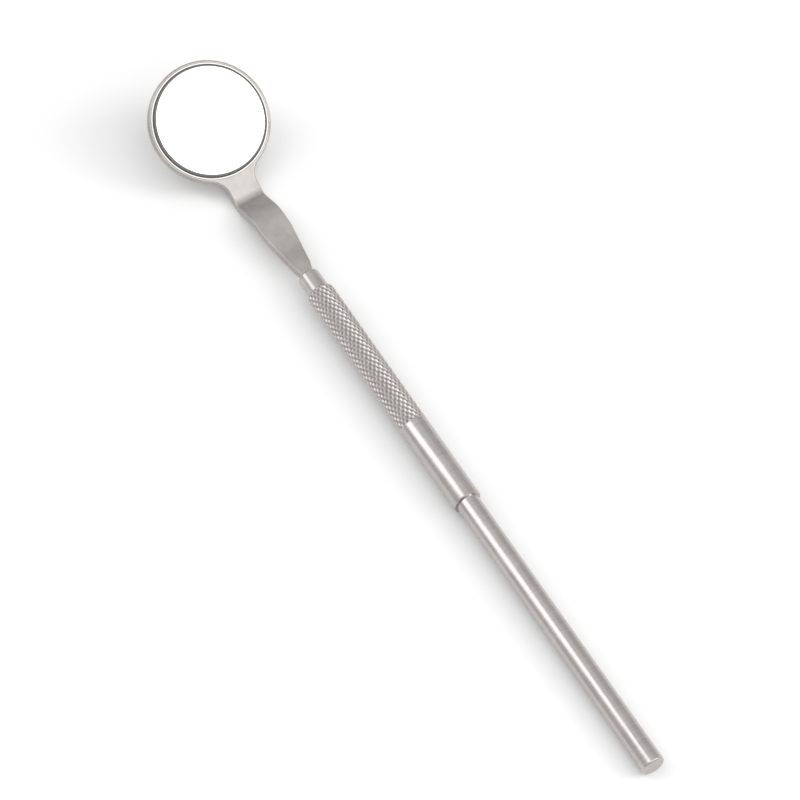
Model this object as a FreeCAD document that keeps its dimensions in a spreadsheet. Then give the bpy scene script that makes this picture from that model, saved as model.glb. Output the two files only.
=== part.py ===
import FreeCAD, Part
import os
import re
import Sketcher

# A screw-on mouth mirror, lying on its back on a table with the mirror face up.
# X runs from the mirror end to the handle's rear end, along the handle's axis, and Z is up.
# The origin is at the middle of the length and the width, at the height of the lowest point.

doc = FreeCAD.newDocument("MouthMirror")
ACROSS = FreeCAD.Vector(0, 1, 0)
UPRIGHT = FreeCAD.Vector(0, 0, 1)

# ---------------------------------------------------------------- driving sizes, mm and degrees
SIZES = [
    # handle
    ("handle_length", 120.5, "whole rod, nose face to rear end"),
    ("rod_diameter", 4.4, "core rod, rear half"),
    ("seat_diameter", 4.3, "core rod turned down for the sleeve, and the bare nose"),
    ("nose_length", 4.5, "bare rod in front of the sleeve"),
    ("knurl_length", 35.0, "knurled front part of the sleeve"),
    ("plain_length", 19.0, "smooth rear part of the sleeve"),
    ("sleeve_diameter", 5.5, "outside of the grip sleeve"),
    ("relief_length", 0.7, "groove beside the shoulder, so that the sleeve seats square"),
    ("relief_depth", 0.3, "depth of that groove"),
    ("sleeve_fit", 0.0, "radial gap, zero for the pressed sleeve"),
    ("rod_chamfer", 0.25, "edge break at both ends of the rod"),
    ("sleeve_lead", 0.4, "chamfer at the sleeve's front end"),
    ("sleeve_break", 0.1, "edge break at the sleeve's rear step"),
    # screwed connection
    ("thread_diameter", 2.5, "outside of the M2.5 thread"),
    ("thread_pitch", 0.45, "travel for each turn"),
    ("thread_turns", 13, "turns in engagement"),
    ("thread_gap", 0.05, "radial gap round the thread"),
    ("thread_lead", 0.3, "chamfer at the thread's end"),
    ("bore_reserve", 1.0, "bore depth beyond the thread's end"),
    ("drill_angle", 118.0, "cone left by the drill's point"),
    ("collar_diameter", 3.2, "collar that seats in the nose"),
    ("collar_depth", 0.5, "collar thickness and counterbore depth"),
    ("collar_gap", 0.05, "radial gap round the collar"),
    ("tenon_diameter", 1.1, "plain tenon brazed into the foot"),
    ("tenon_length", 3.5, "tenon length inside the foot"),
    ("tenon_gap", 0.03, "radial gap round the tenon"),
    ("tenon_end_gap", 0.1, "gap in front of the tenon"),
    # forged head
    ("head_radius", 12.0, "outside of the round pan"),
    ("mirror_tilt", 31.0, "mirror face to handle axis"),
    ("rim_reach", 27.51, "nose face to the rim's near edge, along the handle"),
    ("rim_rise", 0.12, "the rim's near edge above the handle's axis"),
    ("plate_thickness", 1.85, "pan, neck and shank stock"),
    ("lip_height", 0.12, "lip above the plate"),
    ("lip_width", 0.3, "flat top of the lip"),
    ("rim_width", 0.8, "outside of the pan to the inside of the lip"),
    ("neck_half_width", 3.05, "half the width of the neck and ribbon"),
    ("neck_blend", 4.0, "fillet radius between the pan and the neck"),
    ("neck_stub", 0.2, "straight neck beyond the fillets"),
    ("neck_overlap", 0.6, "how far the bent strip runs into the pan"),
    ("flat_length", 16.9, "level part of the shank, from the nose face"),
    ("dip_angle", 27.0, "slope of the shank down to the bend"),
    ("bend_radius", 2.0, "inside of the sharp bend"),
    ("crest_radius", 6.0, "inside of the gentle bend"),
    ("foot_half_width", 1.12, "half the width where the foot meets the collar"),
    ("shoulder_half_width", 1.8, "half the width where the foot's taper changes"),
    ("shoulder_reach", 2.4, "nose face to that change"),
    ("taper_reach", 12.0, "nose face to the full width"),
    ("edge_round", 0.35, "rounding of the outline's edges"),
    # mirror
    ("seal_gap", 0.5, "ring of seal between the glass and the lip"),
    ("glass_thickness", 2.0, "round glass"),
    ("glass_proud", 0.75, "glass face above the lip"),
    ("glass_break", 0.08, "edge break of the glass"),
    ("cement_thickness", 0.15, "cement under the glass"),
    ("seal_below_lip", 0.05, "seal's outer edge under the lip"),
    ("seal_below_face", 0.3, "seal's inner edge under the glass face"),
]

# ---------------------------------------------------------------- sizes worked out from those
WORKED_OUT = [
    ("rod_radius", "rod_diameter / 2"),
    ("seat_radius", "seat_diameter / 2"),
    ("sleeve_radius", "sleeve_diameter / 2"),
    ("sleeve_bore_radius", "seat_radius + sleeve_fit"),
    ("sleeve_start", "nose_length"),
    ("sleeve_end", "nose_length + knurl_length + plain_length"),
    ("thread_length", "thread_turns * thread_pitch"),
    ("thread_radius", "thread_diameter / 2"),
    ("thread_end", "collar_depth + thread_length"),
    ("bore_radius", "thread_radius + thread_gap"),
    ("bore_end", "thread_end + bore_reserve"),
    ("drill_point", "bore_radius / tan(drill_angle * 0.5 deg)"),
    ("collar_radius", "collar_diameter / 2"),
    ("counterbore_radius", "collar_radius + collar_gap"),
    ("tenon_radius", "tenon_diameter / 2"),
    ("socket_radius", "tenon_radius + tenon_gap"),
    ("socket_depth", "tenon_length + tenon_end_gap"),
    ("tilt_sine", "sin(mirror_tilt * 1 deg)"),
    ("tilt_cosine", "cos(mirror_tilt * 1 deg)"),
    ("tilt_slope", "tan(mirror_tilt * 1 deg)"),
    ("dip_sine", "sin(dip_angle * 1 deg)"),
    ("dip_cosine", "cos(dip_angle * 1 deg)"),
    ("dip_slope", "tan(dip_angle * 1 deg)"),
    ("half_plate", "plate_thickness / 2"),
    ("opening_radius", "head_radius - rim_width"),
    ("glass_radius", "opening_radius - seal_gap"),
    ("mirror_reach", "rim_reach + head_radius * tilt_cosine"),
    ("mirror_rise", "rim_rise + head_radius * tilt_sine"),
    # the shank's upper line: level, down to the bend, then up the neck
    ("neck_height", "mirror_rise - lip_height / tilt_cosine"),
    ("bend_reach", "(half_plate + flat_length * dip_slope + mirror_reach * tilt_slope - neck_height)"
                   " / (dip_slope + tilt_slope)"),
    ("bend_height", "half_plate - (bend_reach - flat_length) * dip_slope"),
    # the same corners on the underside, one plate thickness away
    ("crest_shift", "plate_thickness * tan(dip_angle * 0.5 deg)"),
    ("fold_share", "plate_thickness / (1 + cos((dip_angle + mirror_tilt) * 1 deg))"),
    ("under_bend_reach", "bend_reach + fold_share * (tilt_sine - dip_sine)"),
    ("under_bend_height", "bend_height - fold_share * (tilt_cosine + dip_cosine)"),
    ("neck_inner", "head_radius - neck_overlap"),
    ("neck_end_reach", "mirror_reach - neck_inner * tilt_cosine + lip_height * tilt_sine"),
    ("neck_end_height", "mirror_rise - neck_inner * tilt_sine - lip_height * tilt_cosine"),
    ("under_end_reach", "neck_end_reach + plate_thickness * tilt_sine"),
    ("under_end_height", "neck_end_height - plate_thickness * tilt_cosine"),
    # fillets between the pan and the neck, in the plane of the mirror
    ("blend_middle", "sqrt((head_radius + neck_blend)^2 - (neck_half_width + neck_blend)^2)"),
    ("blend_share", "head_radius / (head_radius + neck_blend)"),
    ("blend_start_along", "blend_middle * blend_share"),
    ("blend_start_across", "(neck_half_width + neck_blend) * blend_share"),
    ("stub_end", "blend_middle + neck_stub"),
    # pocket for the glass, measured down from the lip plane
    ("glass_bottom", "glass_thickness - glass_proud"),
    ("pocket_depth", "glass_bottom + cement_thickness"),
    ("lip_outer_radius", "opening_radius + lip_width"),
    ("pan_depth", "plate_thickness + lip_height"),
    # the handle's axis height puts the lowest point of the bend on the table
    ("bend_middle_height", "bend_height + bend_radius * (tilt_cosine + dip_cosine)"
                           " / (1 + cos((dip_angle + mirror_tilt) * 1 deg))"),
    ("axis_height", "bend_radius + plate_thickness - bend_middle_height"),
    ("far_reach", "mirror_reach + head_radius * tilt_cosine + pan_depth * tilt_sine"),
    ("nose_place", "(far_reach - handle_length) / 2"),
    ("mirror_place", "nose_place - mirror_reach"),
    ("mirror_height", "axis_height + mirror_rise"),
]

sheet = doc.addObject("Spreadsheet::Sheet", "Sizes")
for number, (name, value, note) in enumerate(SIZES, start=1):
    sheet.set("A%d" % number, name)
    sheet.set("B%d" % number, str(value))
    sheet.set("C%d" % number, note)
    sheet.setAlias("B%d" % number, name)
for number, (name, formula) in enumerate(WORKED_OUT, start=len(SIZES) + 1):
    sheet.set("A%d" % number, name)
    sheet.set("B%d" % number, "=" + formula)
    sheet.setAlias("B%d" % number, name)
    doc.recompute()
doc.recompute()


def sheet_formula(words):
    """The same formula with every size named through the sheet."""
    return re.sub(r"\b([a-z]+(?:_[a-z]+)+)\b", r"Sizes.\1", words)


def bind(thing, prop, words):
    """Ties a property to sizes in the sheet."""
    thing.setExpression(prop, sheet_formula(words))


def new_body(label):
    """An empty body for one physical piece."""
    body = doc.addObject("PartDesign::Body", label)
    body.Label = label
    return body


def new_sketch(body, name, role):
    """A sketch on one of the body's own origin planes."""
    plane = [item for item in body.Origin.OriginFeatures if item.Role == role][0]
    sketch = body.newObject("Sketcher::SketchObject", name)
    sketch.AttachmentSupport = [(plane, "")]
    sketch.MapMode = "FlatFace"
    return sketch


def shift_sketch(sketch, axis, angle, across, up):
    """Turns and moves a sketch on its plane: angle and the two distances are formulas."""
    sketch.AttachmentOffset = FreeCAD.Placement(FreeCAD.Vector(), FreeCAD.Rotation(axis, 1.0))
    bind(sketch, "AttachmentOffset.Rotation.Angle", angle)
    bind(sketch, "AttachmentOffset.Base.x", across)
    bind(sketch, "AttachmentOffset.Base." + ("z" if axis.y else "y"), up)


def worked(sketch, words):
    """The present value of a formula."""
    return float(sketch.evalExpression(sheet_formula(words)))


def corner_of(sketch, corner):
    """The present place of a corner given as two formulas."""
    return FreeCAD.Vector(worked(sketch, corner[0]), worked(sketch, corner[1]), 0)


def pin_point(sketch, edge, end, corner):
    """Ties one end of an edge to its two formulas."""
    for kind, words in zip(("DistanceX", "DistanceY"), corner):
        value = worked(sketch, words)
        place = sketch.addConstraint(Sketcher.Constraint(kind, -1, 1, edge, end, value))
        bind(sketch, "Constraints[%d]" % place, words)


def draw_outline(sketch, corners, arcs=None):
    """A closed outline through corners, each given as two formulas.

    arcs maps an edge's number to its radius, its middle and whether it goes the long way round.
    """
    arcs = arcs or {}
    points = [corner_of(sketch, corner) for corner in corners]
    edges = []
    for number, start in enumerate(points):
        end = points[(number + 1) % len(points)]
        if number in arcs:
            radius, middle, long_way = arcs[number]
            centre = corner_of(sketch, middle)
            out = (start - centre) + (end - centre)
            out.normalize()
            reach = worked(sketch, radius) * (-1 if long_way else 1)
            edge = sketch.addGeometry(Part.Arc(start, centre + out * reach, end))
            ends = (1, 2) if sketch.getPoint(edge, 1).isEqual(start, 1e-6) else (2, 1)
        else:
            edge = sketch.addGeometry(Part.LineSegment(start, end))
            ends = (1, 2)
        edges.append((edge, ends))
    for number, (edge, ends) in enumerate(edges):
        following, next_ends = edges[(number + 1) % len(edges)]
        sketch.addConstraint(Sketcher.Constraint("Coincident", edge, ends[1], following, next_ends[0]))
        pin_point(sketch, edge, ends[0], corners[number])
        if number in arcs:
            radius = arcs[number][0]
            place = sketch.addConstraint(Sketcher.Constraint("Radius", edge, worked(sketch, radius)))
            bind(sketch, "Constraints[%d]" % place, radius)


def draw_circle(sketch, radius):
    """A circle round the sketch's own origin."""
    flat = FreeCAD.Vector(0, 0, 1)
    edge = sketch.addGeometry(Part.Circle(FreeCAD.Vector(), flat, worked(sketch, radius)))
    sketch.addConstraint(Sketcher.Constraint("Coincident", edge, 3, -1, 1))
    place = sketch.addConstraint(Sketcher.Constraint("Radius", edge, worked(sketch, radius)))
    bind(sketch, "Constraints[%d]" % place, radius)


def turned(body, corners, axis):
    """Turns an outline once round the sketch's own axis, as on a lathe."""
    sketch = new_sketch(body, body.Label + "_section", "XZ_Plane")
    draw_outline(sketch, corners)
    piece = body.newObject("PartDesign::Revolution", body.Label + "_turning")
    piece.Profile = sketch
    piece.ReferenceAxis = (sketch, [axis])
    piece.Angle = 360
    doc.recompute()
    return piece


def cut_away(body, sketch, name, depth, both_ways=False):
    """Cuts the sketch's outline into the body and makes sure that it took something away."""
    before = body.Shape.Volume
    pocket = body.newObject("PartDesign::Pocket", name)
    pocket.Profile = sketch
    pocket.Midplane = both_ways
    bind(pocket, "Length", depth)
    doc.recompute()
    if not body.Shape.Volume < before:
        raise RuntimeError(name + " cut nothing")
    return pocket


def round_edges(body, name, names, radius):
    """Rounds the named edges of the body's last feature."""
    if not names:
        raise RuntimeError(name + " has no edges")
    base = body.Tip
    fillet = body.newObject("PartDesign::Fillet", name)
    fillet.Base = (base, names)
    bind(fillet, "Radius", radius)
    doc.recompute()
    if "Invalid" in fillet.State:
        raise RuntimeError(name + " could not be rounded")
    return fillet


def put_on_handle_line(body):
    """Places a body that is modelled from the nose face, on the handle's axis."""
    bind(body, "Placement.Base.x", "nose_place")
    bind(body, "Placement.Base.z", "axis_height")


def put_on_mirror_line(body):
    """Places a body that is modelled from the middle of the lip plane, square to the mirror."""
    body.Placement = FreeCAD.Placement(FreeCAD.Vector(), FreeCAD.Rotation(ACROSS, 1.0))
    bind(body, "Placement.Rotation.Angle", "mirror_tilt * 1 deg")
    bind(body, "Placement.Base.x", "mirror_place")
    bind(body, "Placement.Base.z", "mirror_height")


# ---------------------------------------------------------------- handle
def make_handle_rod():
    """The core rod: bored nose, seat for the sleeve, relief groove, low shoulder and plain rear half.

    The female thread is a plain bore.
    """
    body = new_body("handle_rod")
    turned(body, [
        ("bore_end + drill_point", "0"),
        ("bore_end", "bore_radius"),
        ("collar_depth", "bore_radius"),
        ("collar_depth", "counterbore_radius"),
        ("0", "counterbore_radius"),
        ("0", "seat_radius - rod_chamfer"),
        ("rod_chamfer", "seat_radius"),
        ("sleeve_end - relief_length", "seat_radius"),
        ("sleeve_end - relief_length", "seat_radius - relief_depth"),
        ("sleeve_end", "seat_radius - relief_depth"),
        ("sleeve_end", "rod_radius"),
        ("handle_length - rod_chamfer", "rod_radius"),
        ("handle_length", "rod_radius - rod_chamfer"),
        ("handle_length", "0"),
    ], "H_Axis")
    put_on_handle_line(body)
    return body


def make_grip_sleeve():
    """The sleeve pressed on the seat against the shoulder, chamfered in front and square behind."""
    body = new_body("grip_sleeve")
    turned(body, [
        ("sleeve_start", "sleeve_bore_radius"),
        ("sleeve_start", "sleeve_radius - sleeve_lead"),
        ("sleeve_start + sleeve_lead", "sleeve_radius"),
        ("sleeve_end - sleeve_break", "sleeve_radius"),
        ("sleeve_end", "sleeve_radius - sleeve_break"),
        ("sleeve_end", "sleeve_bore_radius"),
    ], "H_Axis")
    put_on_handle_line(body)
    return body


def make_threaded_stem():
    """The stud: a plain tenon in the foot, a collar in the counterbore and the thread as a plain shaft."""
    body = new_body("threaded_stem")
    turned(body, [
        ("-tenon_length", "0"),
        ("-tenon_length", "tenon_radius"),
        ("0", "tenon_radius"),
        ("0", "collar_radius"),
        ("collar_depth", "collar_radius"),
        ("collar_depth", "thread_radius"),
        ("thread_end - thread_lead", "thread_radius"),
        ("thread_end", "thread_radius - thread_lead"),
        ("thread_end", "0"),
    ], "H_Axis")
    put_on_handle_line(body)
    return body


# ---------------------------------------------------------------- head
def bend_edges(shape, along, up):
    """The names of the edges that run across the strip through one corner of its side outline."""
    found = []
    for number, edge in enumerate(shape.Edges, start=1):
        middle = edge.CenterOfMass
        level = all(abs(point.Point.x - along) + abs(point.Point.z - up) < 1e-4 for point in edge.Vertexes)
        if level and abs(middle.y) < 1e-4:
            found.append("Edge%d" % number)
    return found


def runs_across(direction):
    """Whether a direction lies along Y."""
    return abs(abs(direction.y) - 1) < 1e-6


def is_sheet_face(face):
    """Whether a face is the upper or lower surface of the bent plate."""
    surface = face.Surface
    if isinstance(surface, Part.Plane):
        return abs(surface.Axis.y) < 1e-6 and abs(surface.Axis.x) < 0.99
    return isinstance(surface, Part.Cylinder) and runs_across(surface.Axis)


def is_side_face(face):
    """Whether a face is part of the plate's cut edge, all the way round."""
    surface = face.Surface
    if isinstance(surface, Part.Plane):
        return abs(surface.Axis.y) > 0.1
    return isinstance(surface, Part.Cylinder) and not runs_across(surface.Axis)


def outline_edges(shape):
    """The names of the edges between the plate's surfaces and its cut edge."""
    found = []
    for number, edge in enumerate(shape.Edges, start=1):
        faces = shape.ancestorsOfType(edge, Part.Face)
        if any(is_sheet_face(face) for face in faces) and any(is_side_face(face) for face in faces):
            found.append("Edge%d" % number)
    return found


def make_head_frame():
    """The head cut from plate: pan, neck, sharp bend, ribbon and tapered foot."""
    body = new_body("head_frame")

    strip = new_sketch(body, "strip_side", "XZ_Plane")
    draw_outline(strip, [
        ("0", "half_plate"),
        ("-flat_length", "half_plate"),
        ("-bend_reach", "bend_height"),
        ("-neck_end_reach", "neck_end_height"),
        ("-under_end_reach", "under_end_height"),
        ("-under_bend_reach", "under_bend_height"),
        ("crest_shift - flat_length", "-half_plate"),
        ("0", "-half_plate"),
    ])
    pad = body.newObject("PartDesign::Pad", "strip")
    pad.Profile = strip
    pad.Midplane = True
    bind(pad, "Length", "2 * neck_half_width")
    doc.recompute()
    for name, along, up, radius in (
        ("crest_top", "-flat_length", "half_plate", "crest_radius + plate_thickness"),
        ("crest_under", "crest_shift - flat_length", "-half_plate", "crest_radius"),
        ("bend_top", "-bend_reach", "bend_height", "bend_radius"),
        ("bend_under", "-under_bend_reach", "under_bend_height", "bend_radius + plate_thickness"),
    ):
        edges = bend_edges(body.Shape, worked(strip, along), worked(strip, up))
        round_edges(body, name, edges, radius)

    plate = new_sketch(body, "plate_outline", "XY_Plane")
    shift_sketch(plate, ACROSS, "mirror_tilt * 1 deg", "-mirror_reach - lip_height * tilt_sine",
                 "mirror_rise - lip_height * tilt_cosine")
    blend = "neck_half_width + neck_blend"
    draw_outline(plate, [
        ("stub_end", "-neck_half_width"),
        ("stub_end", "neck_half_width"),
        ("blend_middle", "neck_half_width"),
        ("blend_start_along", "blend_start_across"),
        ("blend_start_along", "-blend_start_across"),
        ("blend_middle", "-neck_half_width"),
    ], {
        2: ("neck_blend", ("blend_middle", blend), False),
        3: ("head_radius", ("0", "0"), True),
        4: ("neck_blend", ("blend_middle", "-(%s)" % blend), False),
    })
    pad = body.newObject("PartDesign::Pad", "plate")
    pad.Profile = plate
    pad.Reversed = True
    bind(pad, "Length", "plate_thickness")
    doc.recompute()

    for side, sign in (("left", ""), ("right", "-")):
        taper = new_sketch(body, "taper_" + side, "XY_Plane")
        draw_outline(taper, [
            ("foot_half_width", sign + "foot_half_width"),
            ("0", sign + "foot_half_width"),
            ("-shoulder_reach", sign + "shoulder_half_width"),
            ("-taper_reach", sign + "neck_half_width"),
            ("-taper_reach", sign + "(neck_half_width + half_plate)"),
            ("foot_half_width", sign + "(neck_half_width + half_plate)"),
        ])
        cut_away(body, taper, "foot_taper_" + side, "4 * plate_thickness", both_ways=True)

    round_edges(body, "soft_edges", outline_edges(body.Shape), "edge_round")

    lip = new_sketch(body, "lip_section", "XZ_Plane")
    shift_sketch(lip, UPRIGHT, "-mirror_tilt * 1 deg", "-mirror_reach", "mirror_rise")
    draw_outline(lip, [
        ("opening_radius", "-lip_height - half_plate"),
        ("lip_outer_radius", "-lip_height - half_plate"),
        ("lip_outer_radius", "-lip_height / 2"),
        ("lip_outer_radius - lip_height / 2", "0"),
        ("opening_radius", "0"),
    ])
    ring = body.newObject("PartDesign::Revolution", "lip")
    ring.Profile = lip
    ring.ReferenceAxis = (lip, ["V_Axis"])
    ring.Angle = 360
    doc.recompute()

    opening = new_sketch(body, "opening", "XY_Plane")
    shift_sketch(opening, ACROSS, "mirror_tilt * 1 deg", "-mirror_reach", "mirror_rise")
    draw_circle(opening, "opening_radius")
    cut_away(body, opening, "glass_pocket", "pocket_depth")

    socket = new_sketch(body, "socket", "YZ_Plane")
    draw_circle(socket, "socket_radius")
    cut_away(body, socket, "tenon_socket", "socket_depth")
    put_on_handle_line(body)
    return body


def make_mirror_glass():
    """The round glass with its edges broken."""
    body = new_body("mirror_glass")
    turned(body, [
        ("0", "-glass_bottom"),
        ("glass_radius - glass_break", "-glass_bottom"),
        ("glass_radius", "glass_break - glass_bottom"),
        ("glass_radius", "glass_proud - glass_break"),
        ("glass_radius - glass_break", "glass_proud"),
        ("0", "glass_proud"),
    ], "V_Axis")
    put_on_mirror_line(body)
    return body


def make_glass_cement():
    """The thin bed of cement between the pan's floor and the glass."""
    body = new_body("glass_cement")
    turned(body, [
        ("0", "-pocket_depth"),
        ("glass_radius", "-pocket_depth"),
        ("glass_radius", "-glass_bottom"),
        ("0", "-glass_bottom"),
    ], "V_Axis")
    put_on_mirror_line(body)
    return body


def make_edge_seal():
    """The dark bead that fills the gap round the glass and climbs its side."""
    body = new_body("edge_seal")
    turned(body, [
        ("glass_radius", "-pocket_depth"),
        ("opening_radius", "-pocket_depth"),
        ("opening_radius", "-seal_below_lip"),
        ("glass_radius", "glass_proud - seal_below_face"),
    ], "V_Axis")
    put_on_mirror_line(body)
    return body


# ---------------------------------------------------------------- build, check and write
pieces = [
    make_handle_rod(),
    make_grip_sleeve(),
    make_threaded_stem(),
    make_head_frame(),
    make_mirror_glass(),
    make_glass_cement(),
    make_edge_seal(),
]
doc.recompute()

for thing in doc.Objects:
    if "Invalid" in thing.State or "Error" in thing.State:
        raise RuntimeError("%s failed: %s" % (thing.Name, thing.State))
for piece in pieces:
    shape = piece.Shape
    if shape.isNull() or not shape.isValid() or len(shape.Solids) != 1:
        raise RuntimeError("%s is not one valid solid" % piece.Label)

os.makedirs("parts", exist_ok=True)
for piece in pieces:
    piece.Shape.exportStep(os.path.join("parts", piece.Label + ".step"))
    box = piece.Shape.BoundBox
    print("%-14s volume %9.3f  x %8.3f %8.3f  y %7.3f %7.3f  z %7.3f %7.3f" % (
        piece.Label, piece.Shape.Volume, box.XMin, box.XMax, box.YMin, box.YMax, box.ZMin, box.ZMax))
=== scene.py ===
import math

import bmesh
import bpy
from mathutils import Matrix, Vector


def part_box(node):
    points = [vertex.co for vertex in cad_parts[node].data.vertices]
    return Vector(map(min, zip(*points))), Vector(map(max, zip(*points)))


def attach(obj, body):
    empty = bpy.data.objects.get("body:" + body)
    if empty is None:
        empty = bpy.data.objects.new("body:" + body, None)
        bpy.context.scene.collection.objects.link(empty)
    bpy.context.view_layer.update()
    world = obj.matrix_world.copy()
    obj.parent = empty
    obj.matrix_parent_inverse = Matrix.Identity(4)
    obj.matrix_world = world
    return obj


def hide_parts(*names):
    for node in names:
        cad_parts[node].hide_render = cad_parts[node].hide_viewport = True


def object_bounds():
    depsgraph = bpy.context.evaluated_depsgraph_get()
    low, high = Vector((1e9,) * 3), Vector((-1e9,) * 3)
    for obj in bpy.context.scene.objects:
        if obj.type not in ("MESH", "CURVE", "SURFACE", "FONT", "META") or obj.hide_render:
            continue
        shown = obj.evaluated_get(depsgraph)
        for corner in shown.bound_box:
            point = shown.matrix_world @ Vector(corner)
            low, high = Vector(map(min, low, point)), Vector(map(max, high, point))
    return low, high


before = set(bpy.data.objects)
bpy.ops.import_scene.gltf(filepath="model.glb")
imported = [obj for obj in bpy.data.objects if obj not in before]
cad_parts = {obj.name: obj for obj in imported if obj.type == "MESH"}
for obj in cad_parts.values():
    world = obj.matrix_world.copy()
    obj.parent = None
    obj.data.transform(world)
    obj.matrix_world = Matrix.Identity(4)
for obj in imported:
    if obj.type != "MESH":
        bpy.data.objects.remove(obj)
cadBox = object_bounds()

# A screw-on mouth mirror lying on its back on a table, mirror face up. Places come from the frame, in metres.
# In the dictionaries of the pieces and materials lengths are millimetres, and in those of the table, the lights
# and the camera they are metres. Angles are degrees.
mm = 0.001


# small helpers

def linearColour(code):  # sRGB hex to the linear values that the shader takes
    parts = [int(code[place:place + 2], 16) / 255 for place in (1, 3, 5)]
    return [p / 12.92 if p <= 0.04045 else ((p + 0.055) / 1.055) ** 2.4 for p in parts] + [1.0]


def newMaterial(name):
    material = bpy.data.materials.new(name)
    material.use_nodes = True
    return material, material.node_tree, material.node_tree.nodes["Principled BSDF"]


def addNode(tree, kind, settings=None, stops=(), **inputs):
    # settings are the node's own properties, stops are a colour ramp's places and hex colours, and inputs are
    # values or another node's output; _2 is the third input, for a node whose inputs share a name
    node = tree.nodes.new(kind)
    for name, value in (settings or {}).items():
        setattr(node, name, value)
    for index, (place, colour) in enumerate(stops):  # a new ramp has two elements, which take the first two stops
        elements = node.color_ramp.elements
        element = elements[index] if index < 2 else elements.new(place)
        element.position = place
        element.color = linearColour(colour)
    for name, value in inputs.items():
        socket = node.inputs[int(name[1:])] if name[1:].isdigit() else node.inputs[name.replace("_", " ")]
        if isinstance(value, bpy.types.NodeSocket):
            tree.links.new(value, socket)
        else:
            socket.default_value = value
    return node


def meshObject(name, vertices, faces, materials, faceMaterial=None, sharpAngle=30):
    # faceMaterial gives the number of a face's material
    mesh = bpy.data.meshes.new(name)
    mesh.from_pydata(vertices, [], faces)
    mesh.validate()
    outward = bmesh.new()
    outward.from_mesh(mesh)
    bmesh.ops.recalc_face_normals(outward, faces=outward.faces)
    outward.to_mesh(mesh)
    outward.free()
    mesh.shade_smooth()
    mesh.set_sharp_from_angle(angle=math.radians(sharpAngle))
    for material in materials:
        mesh.materials.append(material)
    if faceMaterial:
        for face in mesh.polygons:
            face.material_index = faceMaterial(face)
    piece = bpy.data.objects.new(name, mesh)
    bpy.context.scene.collection.objects.link(piece)
    return piece


arc = {"steps": 3, "mostOfSide": 0.45}  # an arc takes up at most this share of a side of its corner


def softCorners(outline):
    # outline is (along, out, rounding) points: each corner becomes a short arc of that rounding
    points = []
    for index, (along, out, rounding) in enumerate(outline):
        if rounding == 0:
            points.append((along, out))
            continue
        corner = Vector((along, out))
        before = Vector(outline[index - 1][:2]) - corner
        after = Vector(outline[index + 1][:2]) - corner
        halfTurn = before.angle(after) / 2
        reach = min(rounding / math.tan(halfTurn), arc["mostOfSide"] * before.length,
                    arc["mostOfSide"] * after.length)
        first = corner + before.normalized() * reach
        last = corner + after.normalized() * reach
        for step in range(arc["steps"] + 1):
            share = step / arc["steps"]
            mixed = first.lerp(corner, share).lerp(corner.lerp(last, share), share)
            points.append((mixed.x, mixed.y))
    return points


def makeRings(outline, around, place):
    # points round the local X axis, which place puts in the frame; a ring's out is one radius or one for each
    # column, and at 0 the ring is a single point
    vertices, rings = [], []
    for along, out in outline:
        if out == 0:
            rings.append([len(vertices)] * around)
            vertices.append(place @ Vector((along, 0, 0)))
            continue
        rings.append(list(range(len(vertices), len(vertices) + around)))
        for column in range(around):
            angle = 2 * math.pi * column / around
            radius = out[column] if isinstance(out, list) else out
            vertices.append(place @ Vector((along, radius * math.cos(angle), radius * math.sin(angle))))
    return vertices, rings


def turnedPiece(name, outline, around, place, materials, closed=False, faceMaterial=None, sharpAngle=30):
    vertices, rings = makeRings(outline, around, place)
    faces = []
    for first, second in list(zip(rings, rings[1:])) + ([(rings[-1], rings[0])] if closed else []):
        for column in range(around):
            following = (column + 1) % around
            loop = list(dict.fromkeys([first[column], first[following], second[following], second[column]]))
            if len(loop) > 2:
                faces.append(loop)
    return meshObject(name, vertices, faces, materials, faceMaterial, sharpAngle)


# places from the frame

rodLow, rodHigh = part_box("handle_rod")
sleeveLow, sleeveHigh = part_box("grip_sleeve")
stemLow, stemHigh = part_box("threaded_stem")
glassLow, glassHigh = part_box("mirror_glass")
axisHeight = (rodLow.z + rodHigh.z) / 2
noseFace = rodLow.x
onHandle = Matrix.Translation(Vector((noseFace, 0, axisHeight))) @ Matrix.Scale(mm, 4)
sleeveRadius = (sleeveHigh.z - sleeveLow.z) / mm / 2
mirrorTilt = 31.0  # between the mirror's face and the handle's axis
mirrorTurn = math.radians(mirrorTilt - 90)
mirrorMiddle = (glassLow + glassHigh) / 2
# local X points out of the glass
onMirror = Matrix.Translation(mirrorMiddle) @ Matrix.Rotation(mirrorTurn, 4, "Y") @ Matrix.Scale(mm, 4)


# materials

# Stainless steel, centreless ground: a grey metal with a sharp but soft-edged highlight along the bar,
# and fine grinding rings round it. The rings are 0.05 mm apart and are drawn at 0.25 mm so that they show.
rodSteel = {"dark": "#B6B1AF", "light": "#C6C1BF", "roughness": (0.24, 0.30), "anisotropy": 0.3,
            "ringPitch": 0.25, "ringStretch": 60, "ringDepth": 0.02, "bump": 0.008,
            "cloudSize": 4.545, "cloudShare": 0.5}
# Stainless steel, knurled with a cross-cut roll: pits painted darker as painted shade and ridges painted lighter
# as a painted highlight, with patches of random tone.
# The marks of the tool are finer than 0.12 mm and are drawn at that. Roughness is for the pits and the ridges.
knurlSteel = {"pit": "#908B89", "flank": "#BDB8B6", "ridge": "#D2CDCB", "roughness": (0.48, 0.36), "depth": 0.32,
              "gritSize": 0.12, "gritDepth": 0.03, "bump": 0.05, "patchSize": 1.2, "patchShare": 0.4}
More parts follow.
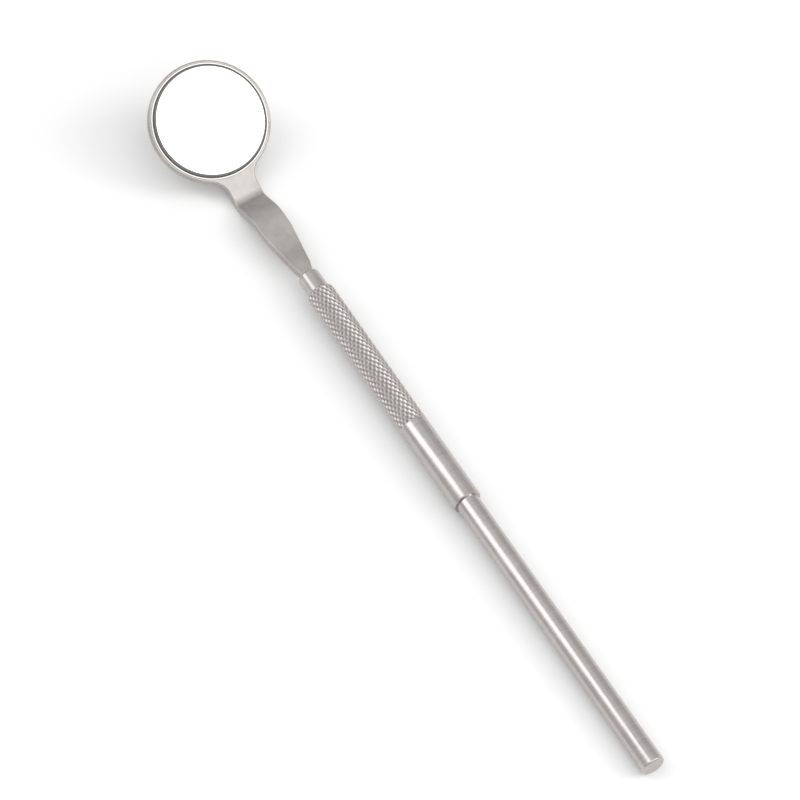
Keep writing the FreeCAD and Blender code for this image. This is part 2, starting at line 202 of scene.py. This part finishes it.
# Stainless steel, bead blasted and lightly tumbled: an even satin grey with no direction. The grit is
# about 0.06 mm and is drawn at 0.18 mm. A thin band at the lip is smoother, and its colour is painted
# brighter: a painted highlight.
headSteel = {"dark": "#AAA6A3", "light": "#C0BCB9", "roughness": (0.46, 0.54), "cloudSize": 6.25,
             "gritSize": 0.18, "gritDepth": 0.03, "bump": 0.16,
             "lip": "#DAD6D3", "lipRadius": (11.32, 11.46), "lipLevel": (0.10, 0.20), "lipPolish": 0.15}
# Glass silvered on its front face: a perfect cold mirror with the faintest haze.
mirrorLook = {"dark": "#F4F5F6", "light": "#F8F8F9", "roughness": (0.004, 0.02), "hazeSize": 2.857}
# Ground and painted glass edge: dark and half matt. The grain is finer than 0.12 mm and is drawn at that.
edgeLook = {"dark": "#5C5C5A", "light": "#6C6C6A", "roughness": 0.45, "ior": 1.5,
            "grainSize": 0.12, "grainDepth": 0.02, "bump": 0.2}
# Set sealing compound, smoothed by hand: dark grey with a dull sheen, and a thin band against the glass
# painted lighter: a painted highlight.
sealLook = {"dark": "#50504E", "light": "#5E5E5C", "paintedHighlight": "#868683", "paintedHighlightRadius": (10.80, 10.94),
            "roughness": 0.5, "cloudSize": 1.111, "cloudDepth": 0.05, "bump": 0.25}
# Dental cement: the same kind of paste, cream coloured and matt, with its band against the glass also painted
# lighter: a painted highlight.
cementLook = {"dark": "#B5AB93", "light": "#C8BFA8", "paintedHighlight": "#D0C8B4", "paintedHighlightRadius": (10.5, 10.7),
              "roughness": 0.7, "cloudSize": 1.111, "cloudDepth": 0.05, "bump": 0.25}


def fromGlassAxis(tree, place):  # how far a point is from the glass's axis, and how far along it
    onPan = addNode(tree, "ShaderNodeMapping", {"vector_type": "TEXTURE"}, Vector=place, Location=mirrorMiddle,
                    Rotation=(0, mirrorTurn, 0))
    across = addNode(tree, "ShaderNodeMapping", Vector=onPan.outputs["Vector"], Scale=(0, 1, 1))
    reach = addNode(tree, "ShaderNodeVectorMath", {"operation": "LENGTH"}, _0=across.outputs["Vector"])
    split = addNode(tree, "ShaderNodeSeparateXYZ", Vector=onPan.outputs["Vector"])
    return reach.outputs["Value"], split.outputs["X"]


def groundSteel(name, look):
    material, tree, shader = newMaterial(name)
    place = addNode(tree, "ShaderNodeTexCoord").outputs["Object"]
    along = 1 / (look["ringPitch"] * mm)
    around = along / look["ringStretch"]
    stretched = addNode(tree, "ShaderNodeMapping", Vector=place, Scale=(along, around, around))
    rings = addNode(tree, "ShaderNodeTexNoise", Vector=stretched.outputs["Vector"], Scale=1.0, Detail=3.0,
                    Roughness=0.6)
    cloud = addNode(tree, "ShaderNodeTexNoise", Vector=place, Scale=1 / (look["cloudSize"] * mm), Detail=4.0)
    both = addNode(tree, "ShaderNodeMath", {"operation": "MULTIPLY_ADD"}, _0=cloud.outputs["Fac"],
                   _1=look["cloudShare"], _2=rings.outputs["Fac"])
    tone = addNode(tree, "ShaderNodeMapRange", Value=both.outputs[0], From_Min=0.5, From_Max=1.0)
    tint = addNode(tree, "ShaderNodeValToRGB", stops=[(0.0, look["dark"]), (1.0, look["light"])],
                   Fac=tone.outputs["Result"])
    rough = addNode(tree, "ShaderNodeMapRange", Value=cloud.outputs["Fac"], From_Min=0.3, From_Max=0.7,
                    To_Min=look["roughness"][0], To_Max=look["roughness"][1])
    bump = addNode(tree, "ShaderNodeBump", Height=rings.outputs["Fac"], Strength=look["bump"],
                   Distance=look["ringDepth"] * mm)
    tangent = addNode(tree, "ShaderNodeTangent", {"direction_type": "RADIAL", "axis": "X"})
    tree.links.new(tint.outputs["Color"], shader.inputs["Base Color"])
    tree.links.new(rough.outputs["Result"], shader.inputs["Roughness"])
    tree.links.new(bump.outputs["Normal"], shader.inputs["Normal"])
    tree.links.new(tangent.outputs["Tangent"], shader.inputs["Tangent"])
    shader.inputs["Metallic"].default_value = 1.0
    shader.inputs["Anisotropic"].default_value = look["anisotropy"]
    return material


def blastedSteel(name, look):
    material, tree, shader = newMaterial(name)
    place = addNode(tree, "ShaderNodeTexCoord").outputs["Object"]
    grit = addNode(tree, "ShaderNodeTexNoise", Vector=place, Scale=1 / (look["gritSize"] * mm), Detail=2.0)
    cloud = addNode(tree, "ShaderNodeTexNoise", Vector=place, Scale=1 / (look["cloudSize"] * mm), Detail=5.0,
                    Roughness=0.6)
    tint = addNode(tree, "ShaderNodeValToRGB", stops=[(0.35, look["dark"]), (0.65, look["light"])],
                   Fac=cloud.outputs["Fac"])
    rough = addNode(tree, "ShaderNodeMapRange", Value=cloud.outputs["Fac"], From_Min=0.3, From_Max=0.7,
                    To_Min=look["roughness"][0], To_Max=look["roughness"][1])
    bump = addNode(tree, "ShaderNodeBump", Height=grit.outputs["Fac"], Strength=look["bump"],
                   Distance=look["gritDepth"] * mm)
    reach, level = fromGlassAxis(tree, place)
    inner, outer = look["lipRadius"]
    low, high = look["lipLevel"]
    # the lip band gets a lower roughness and a brighter colour, which is a painted highlight
    near = addNode(tree, "ShaderNodeMapRange", Value=reach, From_Min=outer * mm, From_Max=inner * mm)
    above = addNode(tree, "ShaderNodeMapRange", Value=level, From_Min=low * mm, From_Max=high * mm)
    lip = addNode(tree, "ShaderNodeMath", {"operation": "MULTIPLY"}, _0=near.outputs["Result"],
                  _1=above.outputs["Result"])
    polished = addNode(tree, "ShaderNodeMath", {"operation": "MULTIPLY_ADD"}, _0=lip.outputs[0],
                       _1=-look["lipPolish"], _2=rough.outputs["Result"])
    colour = addNode(tree, "ShaderNodeMix", {"data_type": "RGBA"}, _0=lip.outputs[0], _6=tint.outputs["Color"],
                     _7=linearColour(look["lip"]))
    tree.links.new(colour.outputs[2], shader.inputs["Base Color"])
    tree.links.new(polished.outputs[0], shader.inputs["Roughness"])
    tree.links.new(bump.outputs["Normal"], shader.inputs["Normal"])
    shader.inputs["Metallic"].default_value = 1.0
    return material


def knurledSteel(name, look):
    material, tree, shader = newMaterial(name)
    place = addNode(tree, "ShaderNodeTexCoord").outputs["Object"]
    # how far a point is from the handle's axis says whether it is on a ridge or in a pit: pits are painted darker
    # (painted shade) and ridges lighter (painted highlight)
    across = addNode(tree, "ShaderNodeMapping", Vector=place, Location=(0, 0, -axisHeight), Scale=(0, 1, 1))
    reach = addNode(tree, "ShaderNodeVectorMath", {"operation": "LENGTH"}, _0=across.outputs["Vector"])
    height = addNode(tree, "ShaderNodeMapRange", Value=reach.outputs["Value"],
                     From_Min=(sleeveRadius - look["depth"]) * mm, From_Max=sleeveRadius * mm)
    grit = addNode(tree, "ShaderNodeTexNoise", Vector=place, Scale=1 / (look["gritSize"] * mm), Detail=2.0)
    patch = addNode(tree, "ShaderNodeTexNoise", Vector=place, Scale=1 / (look["patchSize"] * mm), Detail=3.0)
    patchesAndPaintedShading = addNode(tree, "ShaderNodeMath", {"operation": "MULTIPLY_ADD"}, _0=patch.outputs["Fac"],
                   _1=look["patchShare"], _2=height.outputs["Result"])
    # pit colour is painted shade, ridge colour a painted highlight; the patch noise adds random tone
    stops = [(0.2, look["pit"]), (1.0, look["ridge"]), (0.7, look["flank"])]
    tint = addNode(tree, "ShaderNodeValToRGB", stops=stops, Fac=patchesAndPaintedShading.outputs[0])
    rough = addNode(tree, "ShaderNodeMapRange", Value=height.outputs["Result"], To_Min=look["roughness"][0],
                    To_Max=look["roughness"][1])
    bump = addNode(tree, "ShaderNodeBump", Height=grit.outputs["Fac"], Strength=look["bump"],
                   Distance=look["gritDepth"] * mm)
    tree.links.new(tint.outputs["Color"], shader.inputs["Base Color"])
    tree.links.new(rough.outputs["Result"], shader.inputs["Roughness"])
    tree.links.new(bump.outputs["Normal"], shader.inputs["Normal"])
    shader.inputs["Metallic"].default_value = 1.0
    return material


def silveredFace(name, look):
    material, tree, shader = newMaterial(name)
    place = addNode(tree, "ShaderNodeTexCoord").outputs["Object"]
    haze = addNode(tree, "ShaderNodeTexNoise", Vector=place, Scale=1 / (look["hazeSize"] * mm), Detail=3.0)
    rough = addNode(tree, "ShaderNodeMapRange", Value=haze.outputs["Fac"], From_Min=0.4, From_Max=0.7,
                    To_Min=look["roughness"][0], To_Max=look["roughness"][1])
    tint = addNode(tree, "ShaderNodeValToRGB", stops=[(0.3, look["dark"]), (0.7, look["light"])],
                   Fac=haze.outputs["Fac"])
    tree.links.new(tint.outputs["Color"], shader.inputs["Base Color"])
    tree.links.new(rough.outputs["Result"], shader.inputs["Roughness"])
    shader.inputs["Metallic"].default_value = 1.0
    return material


def groundEdge(name, look):
    material, tree, shader = newMaterial(name)
    place = addNode(tree, "ShaderNodeTexCoord").outputs["Object"]
    grain = addNode(tree, "ShaderNodeTexNoise", Vector=place, Scale=1 / (look["grainSize"] * mm), Detail=3.0)
    tint = addNode(tree, "ShaderNodeValToRGB", stops=[(0.35, look["dark"]), (0.7, look["light"])],
                   Fac=grain.outputs["Fac"])
    bump = addNode(tree, "ShaderNodeBump", Height=grain.outputs["Fac"], Strength=look["bump"],
                   Distance=look["grainDepth"] * mm)
    tree.links.new(tint.outputs["Color"], shader.inputs["Base Color"])
    tree.links.new(bump.outputs["Normal"], shader.inputs["Normal"])
    shader.inputs["Roughness"].default_value = look["roughness"]
    shader.inputs["IOR"].default_value = look["ior"]
    return material


def setPaste(name, look):
    material, tree, shader = newMaterial(name)
    place = addNode(tree, "ShaderNodeTexCoord").outputs["Object"]
    cloud = addNode(tree, "ShaderNodeTexNoise", Vector=place, Scale=1 / (look["cloudSize"] * mm), Detail=4.0)
    tint = addNode(tree, "ShaderNodeValToRGB", stops=[(0.35, look["dark"]), (0.7, look["light"])],
                   Fac=cloud.outputs["Fac"])
    reach = fromGlassAxis(tree, place)[0]
    # a thin band against the glass is painted lighter: a painted highlight
    inner, outer = look["paintedHighlightRadius"]
    near = addNode(tree, "ShaderNodeMapRange", Value=reach, From_Min=outer * mm, From_Max=inner * mm)
    colour = addNode(tree, "ShaderNodeMix", {"data_type": "RGBA"}, _0=near.outputs["Result"],
                     _6=tint.outputs["Color"], _7=linearColour(look["paintedHighlight"]))
    bump = addNode(tree, "ShaderNodeBump", Height=cloud.outputs["Fac"], Strength=look["bump"],
                   Distance=look["cloudDepth"] * mm)
    tree.links.new(colour.outputs[2], shader.inputs["Base Color"])
    tree.links.new(bump.outputs["Normal"], shader.inputs["Normal"])
    shader.inputs["Roughness"].default_value = look["roughness"]
    return material


barFinish = groundSteel("stainlessSteelGround", rodSteel)
knurlFinish = knurledSteel("stainlessSteelKnurled", knurlSteel)
satinFinish = blastedSteel("stainlessSteelBlasted", headSteel)
mirrorFinish = silveredFace("glassFrontSilvered", mirrorLook)
edgeFinish = groundEdge("glassEdgeGround", edgeLook)
sealFinish = setPaste("sealingCompoundSet", sealLook)
cementFinish = setPaste("dentalCementSet", cementLook)
print("materials made:", len(bpy.data.materials))


# handle rod

rod = {"around": 96, "chamfer": 0.25, "rounding": 0.2, "sharp": 0.02, "seatRadius": 2.15,
       "counterbore": 1.65, "counterboreDepth": 0.5, "bore": 1.3, "boreDepth": 7.35, "drillPoint": 0.78}


def makeHandleRod():
    length = (rodHigh.x - rodLow.x) / mm
    radius = (rodHigh.z - rodLow.z) / mm / 2
    step = (sleeveHigh.x - noseFace) / mm
    outline = softCorners([
        (rod["boreDepth"] + rod["drillPoint"], 0, 0),
        (rod["boreDepth"], rod["bore"], 0),
        (rod["counterboreDepth"], rod["bore"], rod["sharp"]),
        (rod["counterboreDepth"], rod["counterbore"], rod["sharp"]),
        (0, rod["counterbore"], rod["sharp"]),
        (0, rod["seatRadius"] - rod["chamfer"], rod["rounding"]),
        (rod["chamfer"], rod["seatRadius"], rod["rounding"]),
        (step, rod["seatRadius"], 0),
        (step, radius, 0),
        (length - rod["chamfer"], radius, rod["rounding"]),
        (length, radius - rod["chamfer"], rod["rounding"]),
        (length, 0, 0),
    ])
    piece = turnedPiece("handleRod", outline, rod["around"], onHandle, [barFinish], sharpAngle=40)
    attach(piece, "handle")
    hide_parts("handle_rod")
    return piece


# grip sleeve: the knurling is cut as a real net of ridges round small pits

sleeve = {"starts": 17, "pitch": 1.5, "pointsPerSide": 6, "saddle": 0.58, "flat": 0.1, "knurlLength": 35.0,
          "runOut": 0.35, "frontLead": 0.4, "frontBreak": 0.03, "gap": 0.05, "bore": 2.15, "stepRounding": 0.25}


def knurlCut(row, column):  # how far below the ridges the surface lies
    def ridge(number):
        share = abs((number / (2 * sleeve["pointsPerSide"])) % 1.0 - 0.5) * 2  # 1 on the ridge's line, 0 midway
        return max(0.0, (share - sleeve["flat"]) / (1 - sleeve["flat"]))
    rising, falling = ridge(row - column), ridge(row + column)
    # the ridges dip to the saddle's share of their height between crossings
    height = sleeve["saddle"] * max(rising, falling) + (1 - sleeve["saddle"]) * min(rising, falling)
    return knurlSteel["depth"] * (1 - height)


def makeGripSleeve():
    start = (sleeveLow.x - noseFace) / mm
    end = (sleeveHigh.x - noseFace) / mm
    repeat = 2 * sleeve["pointsPerSide"]
    columns = sleeve["starts"] * repeat
    step = sleeve["pitch"] / repeat
    rows = round(sleeve["knurlLength"] / step)
    front = sleeveRadius - sleeve["frontLead"]
    outline = [(start, sleeve["bore"]), (start, front - sleeve["frontBreak"])]
    firstKnurled = len(outline)
    for row in range(rows + 1):
        along = row * step
        lead = front + along  # the chamfer at the front cuts the crests off
        fade = min(1.0, max(0.0, (sleeve["knurlLength"] - along) / sleeve["runOut"]))
        outline.append((start + along, [min(lead, sleeveRadius - knurlCut(row, column) * fade)
                                        for column in range(columns)]))
    outline += softCorners([
        (start + sleeve["knurlLength"] + sleeve["gap"], sleeveRadius, 0),
        (end, sleeveRadius, sleeve["stepRounding"]),
        (end, sleeve["bore"], 0),
    ])
    vertices, rings = makeRings(outline, columns, onHandle)
    faces = []
    for number, (first, second) in enumerate(list(zip(rings, rings[1:])) + [(rings[-1], rings[0])]):
        row = number - firstKnurled
        knurled = 0 <= row < rows
        for column in range(columns):
            following = (column + 1) % columns
            a, b, c, d = first[column], first[following], second[following], second[column]
            if knurled and (row - column) % repeat == 0:  # a rising ridge runs from a to c
                faces += [[a, b, c], [a, c, d]]
            elif knurled and (row + column + 1) % repeat == 0:  # a falling ridge runs from b to d
                faces += [[a, b, d], [b, c, d]]
            else:
                faces.append([a, b, c, d])
    knurlEnd = noseFace + (start + sleeve["knurlLength"]) * mm
    piece = meshObject("gripSleeve", vertices, faces, [barFinish, knurlFinish], sharpAngle=28,
                       faceMaterial=lambda face: 1 if face.center.x < knurlEnd else 0)
    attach(piece, "handle")
    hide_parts("grip_sleeve")
    return piece


# threaded stem: each row of points is a ring, and the thread's wave turns with the rows

stem = {"around": 48, "rowsPerTurn": 14, "pitch": 0.45, "crest": 1.25, "root": 0.99, "least": 0.6,
        "flankSlope": 1.6, "rootFlat": 0.25, "runIn": 2, "lead": 0.3, "undercut": 0.25,
        "collar": 1.6, "collarDepth": 0.5, "tenon": 0.55, "rounding": 0.05}


def makeThreadedStem():
    start = (stemLow.x - noseFace) / mm
    end = (stemHigh.x - noseFace) / mm
    outline = softCorners([
        (start, 0, 0),
        (start, stem["tenon"], stem["rounding"]),
        (0, stem["tenon"], stem["rounding"]),
        (0, stem["collar"], stem["rounding"]),
        (stem["collarDepth"], stem["collar"], stem["rounding"]),
        (stem["collarDepth"], stem["root"], 0),
    ])
    threadStart = stem["collarDepth"] + stem["undercut"]
    rows = round((end - threadStart) / stem["pitch"] * stem["rowsPerTurn"])
    for row in range(rows + 1):
        along = threadStart + (end - threadStart) * row / rows
        cap = min(stem["root"] + (along - threadStart) * stem["runIn"],
                  stem["crest"] - stem["lead"] + (end - along))  # the thread runs in, and is chamfered at its tip
        radii = []
        for column in range(stem["around"]):
            turn = (along / stem["pitch"] - column / stem["around"]) % 1.0
            wave = stem["flankSlope"] * (1 - abs(turn - 0.5) * 2) - stem["rootFlat"]
            wave = min(1.0, max(0.0, wave))  # flat crest and flat root
            radius = stem["root"] + (stem["crest"] - stem["root"]) * wave
            radii.append(max(stem["least"], min(cap, radius)))
        outline.append((along, radii))
    outline.append((end, 0))
    piece = turnedPiece("threadedStem", outline, stem["around"], onHandle, [barFinish], sharpAngle=35)
    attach(piece, "stem")
    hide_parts("threaded_stem")
    return piece


# head: the bent plate and the cement keep their shapes from the frame

head = {"sharpAngle": 35}


def makeHeadFrame():
    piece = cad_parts["head_frame"]
    piece.data.materials.clear()
    piece.data.materials.append(satinFinish)
    piece.data.shade_smooth()
    piece.data.set_sharp_from_angle(angle=math.radians(head["sharpAngle"]))
    return piece


def makeGlassCement():
    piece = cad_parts["glass_cement"]
    piece.data.materials.clear()
    piece.data.materials.append(cementFinish)
    return piece


glass = {"around": 128, "thickness": 2.0, "break": 0.08, "rounding": 0.03, "faceLean": 0.95}


def makeMirrorGlass():
    radius = (glassHigh.y - glassLow.y) / mm / 2
    half = glass["thickness"] / 2
    outline = softCorners([
        (-half, 0, 0),
        (-half, radius - glass["break"], 0),
        (-half + glass["break"], radius, 0),
        (half - glass["break"], radius, glass["rounding"]),
        (half, radius - glass["break"], glass["rounding"]),
        (half, 0, 0),
    ])
    outwards = (onMirror.to_3x3() @ Vector((1, 0, 0))).normalized()
    piece = turnedPiece("mirrorGlass", outline, glass["around"], onMirror, [mirrorFinish, edgeFinish],
                        sharpAngle=20,
                        faceMaterial=lambda face: 0 if face.normal.dot(outwards) > glass["faceLean"] else 1)
    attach(piece, "head")
    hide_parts("mirror_glass")
    return piece


seal = {"around": 128, "inner": 10.7, "outer": 11.2, "belowFace": 0.3, "belowLip": 0.05, "proud": 0.75,
        "pocket": 1.4, "sag": 0.1, "steps": 4}


def makeEdgeSeal():
    face = glass["thickness"] / 2
    lip = face - seal["proud"]
    bottom = lip - seal["pocket"]
    low = lip - seal["belowLip"]
    high = face - seal["belowFace"]
    outline = [(bottom, seal["inner"]), (bottom, seal["outer"]), (low, seal["outer"])]
    for step in range(seal["steps"]):  # the bead's hollow slope up the side of the glass
        share = (step + 1) / seal["steps"]
        hollow = seal["sag"] * math.sin(math.pi * share)
        outline.append((low + (high - low) * share - hollow,
                        seal["outer"] + (seal["inner"] - seal["outer"]) * share))
    piece = turnedPiece("edgeSeal", outline, seal["around"], onMirror, [sealFinish], closed=True, sharpAngle=50)
    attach(piece, "head")
    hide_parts("edge_seal")
    return piece


pieces = [makeHandleRod(), makeGripSleeve(), makeThreadedStem(), makeHeadFrame(), makeMirrorGlass(),
          makeEdgeSeal(), makeGlassCement()]
print("pieces made:", ", ".join(piece.name for piece in pieces))


# table, light and camera

# Matt white card: only a soft even tone.
table = {"size": 6.0, "dark": "#F3F3F3", "light": "#F4F4F4", "roughness": 0.75, "cloudSize": 0.1111}


def makeTable():
    material, tree, shader = newMaterial("paperMatt")
    place = addNode(tree, "ShaderNodeTexCoord").outputs["Object"]
    cloud = addNode(tree, "ShaderNodeTexNoise", Vector=place, Scale=1 / table["cloudSize"], Detail=3.0)
    tint = addNode(tree, "ShaderNodeValToRGB", stops=[(0.3, table["dark"]), (0.7, table["light"])],
                   Fac=cloud.outputs["Fac"])
    tree.links.new(tint.outputs["Color"], shader.inputs["Base Color"])
    shader.inputs["Roughness"].default_value = table["roughness"]
    # the object rests on the bend's underside and on the bottom edge of the rod's rear end
    headPoints = [vertex.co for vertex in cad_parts["head_frame"].data.vertices]
    bendPlace = min(headPoints, key=lambda point: point.z).x
    slope = math.atan2(rodLow.z, rodHigh.x - bendPlace)
    half = table["size"] / 2
    corners = [(-half, -half, 0), (half, -half, 0), (half, half, 0), (-half, half, 0)]
    floor = meshObject("table", corners, [[0, 1, 2, 3]], [material])
    floor.matrix_world = Matrix.Translation((bendPlace, 0, 0)) @ Matrix.Rotation(-slope, 4, "Y")


# Each soft box looks at the frame's origin from its direction; its size is width and height.
softBoxes = {
    "keyBox": {"direction": (0.517, 0.242, 0.819), "distance": 2.0, "size": (2.0, 2.0), "power": 14.8},
    "leftBox": {"direction": (-0.43, -0.48, 0.764), "distance": 3.0, "size": (1.1, 2.8), "power": 18.5},
    "farBox": {"direction": (0.45, 0.68, 0.58), "distance": 1.5, "size": (0.6, 0.6), "power": 5.2},
    "topBox": {"direction": (-0.44, 0.19, 0.88), "distance": 1.5, "size": (1.1, 0.9), "power": 0.75},
}
surround = {"colour": "#FFFFFF", "strength": 0.65}


def makeLight():
    scene = bpy.context.scene
    world = bpy.data.worlds.new("studio")
    scene.world = world
    world.use_nodes = True
    background = world.node_tree.nodes["Background"]
    background.inputs["Color"].default_value = linearColour(surround["colour"])
    background.inputs["Strength"].default_value = surround["strength"]
    for name, box in softBoxes.items():
        lamp = bpy.data.lights.new(name, "AREA")
        lamp.shape = "RECTANGLE"
        lamp.size, lamp.size_y = box["size"]
        lamp.energy = box["power"]
        softBox = bpy.data.objects.new(name, lamp)
        scene.collection.objects.link(softBox)
        softBox.location = Vector(box["direction"]).normalized() * box["distance"]
        softBox.rotation_euler = (-softBox.location).to_track_quat("-Z", "Y").to_euler()
    scene.view_settings.view_transform = "Standard"


# The camera is aimed at a point that is aimShare of the way along the object. The lens and the sensor are in
# millimetres.
view = {"lens": 147.2, "sensor": 36, "nearest": 0.01, "distance": 0.60296, "azimuth": 63.34, "elevation": 57.40,
        "roll": -4.40, "aimShare": 0.4845, "aimAside": 0.0007}


def makeCamera():
    data = bpy.data.cameras.new("camera")
    data.lens, data.sensor_width = view["lens"], view["sensor"]
    data.clip_start = view["nearest"]
    camera = bpy.data.objects.new("camera", data)
    bpy.context.scene.collection.objects.link(camera)
    low, high = cadBox
    target = Vector((low[0] + (high[0] - low[0]) * view["aimShare"], view["aimAside"], axisHeight))
    turn, lift = math.radians(view["azimuth"]), math.radians(view["elevation"])
    back = Vector((math.sin(turn) * math.cos(lift), -math.cos(turn) * math.cos(lift), math.sin(lift)))
    camera.matrix_world = (Matrix.Translation(target + back * view["distance"])
                           @ back.to_track_quat("Z", "Y").to_matrix().to_4x4()
                           @ Matrix.Rotation(math.radians(view["roll"]), 4, "Z"))
    bpy.context.scene.camera = camera


makeTable()
makeLight()
makeCamera()
print("table, light and camera made")
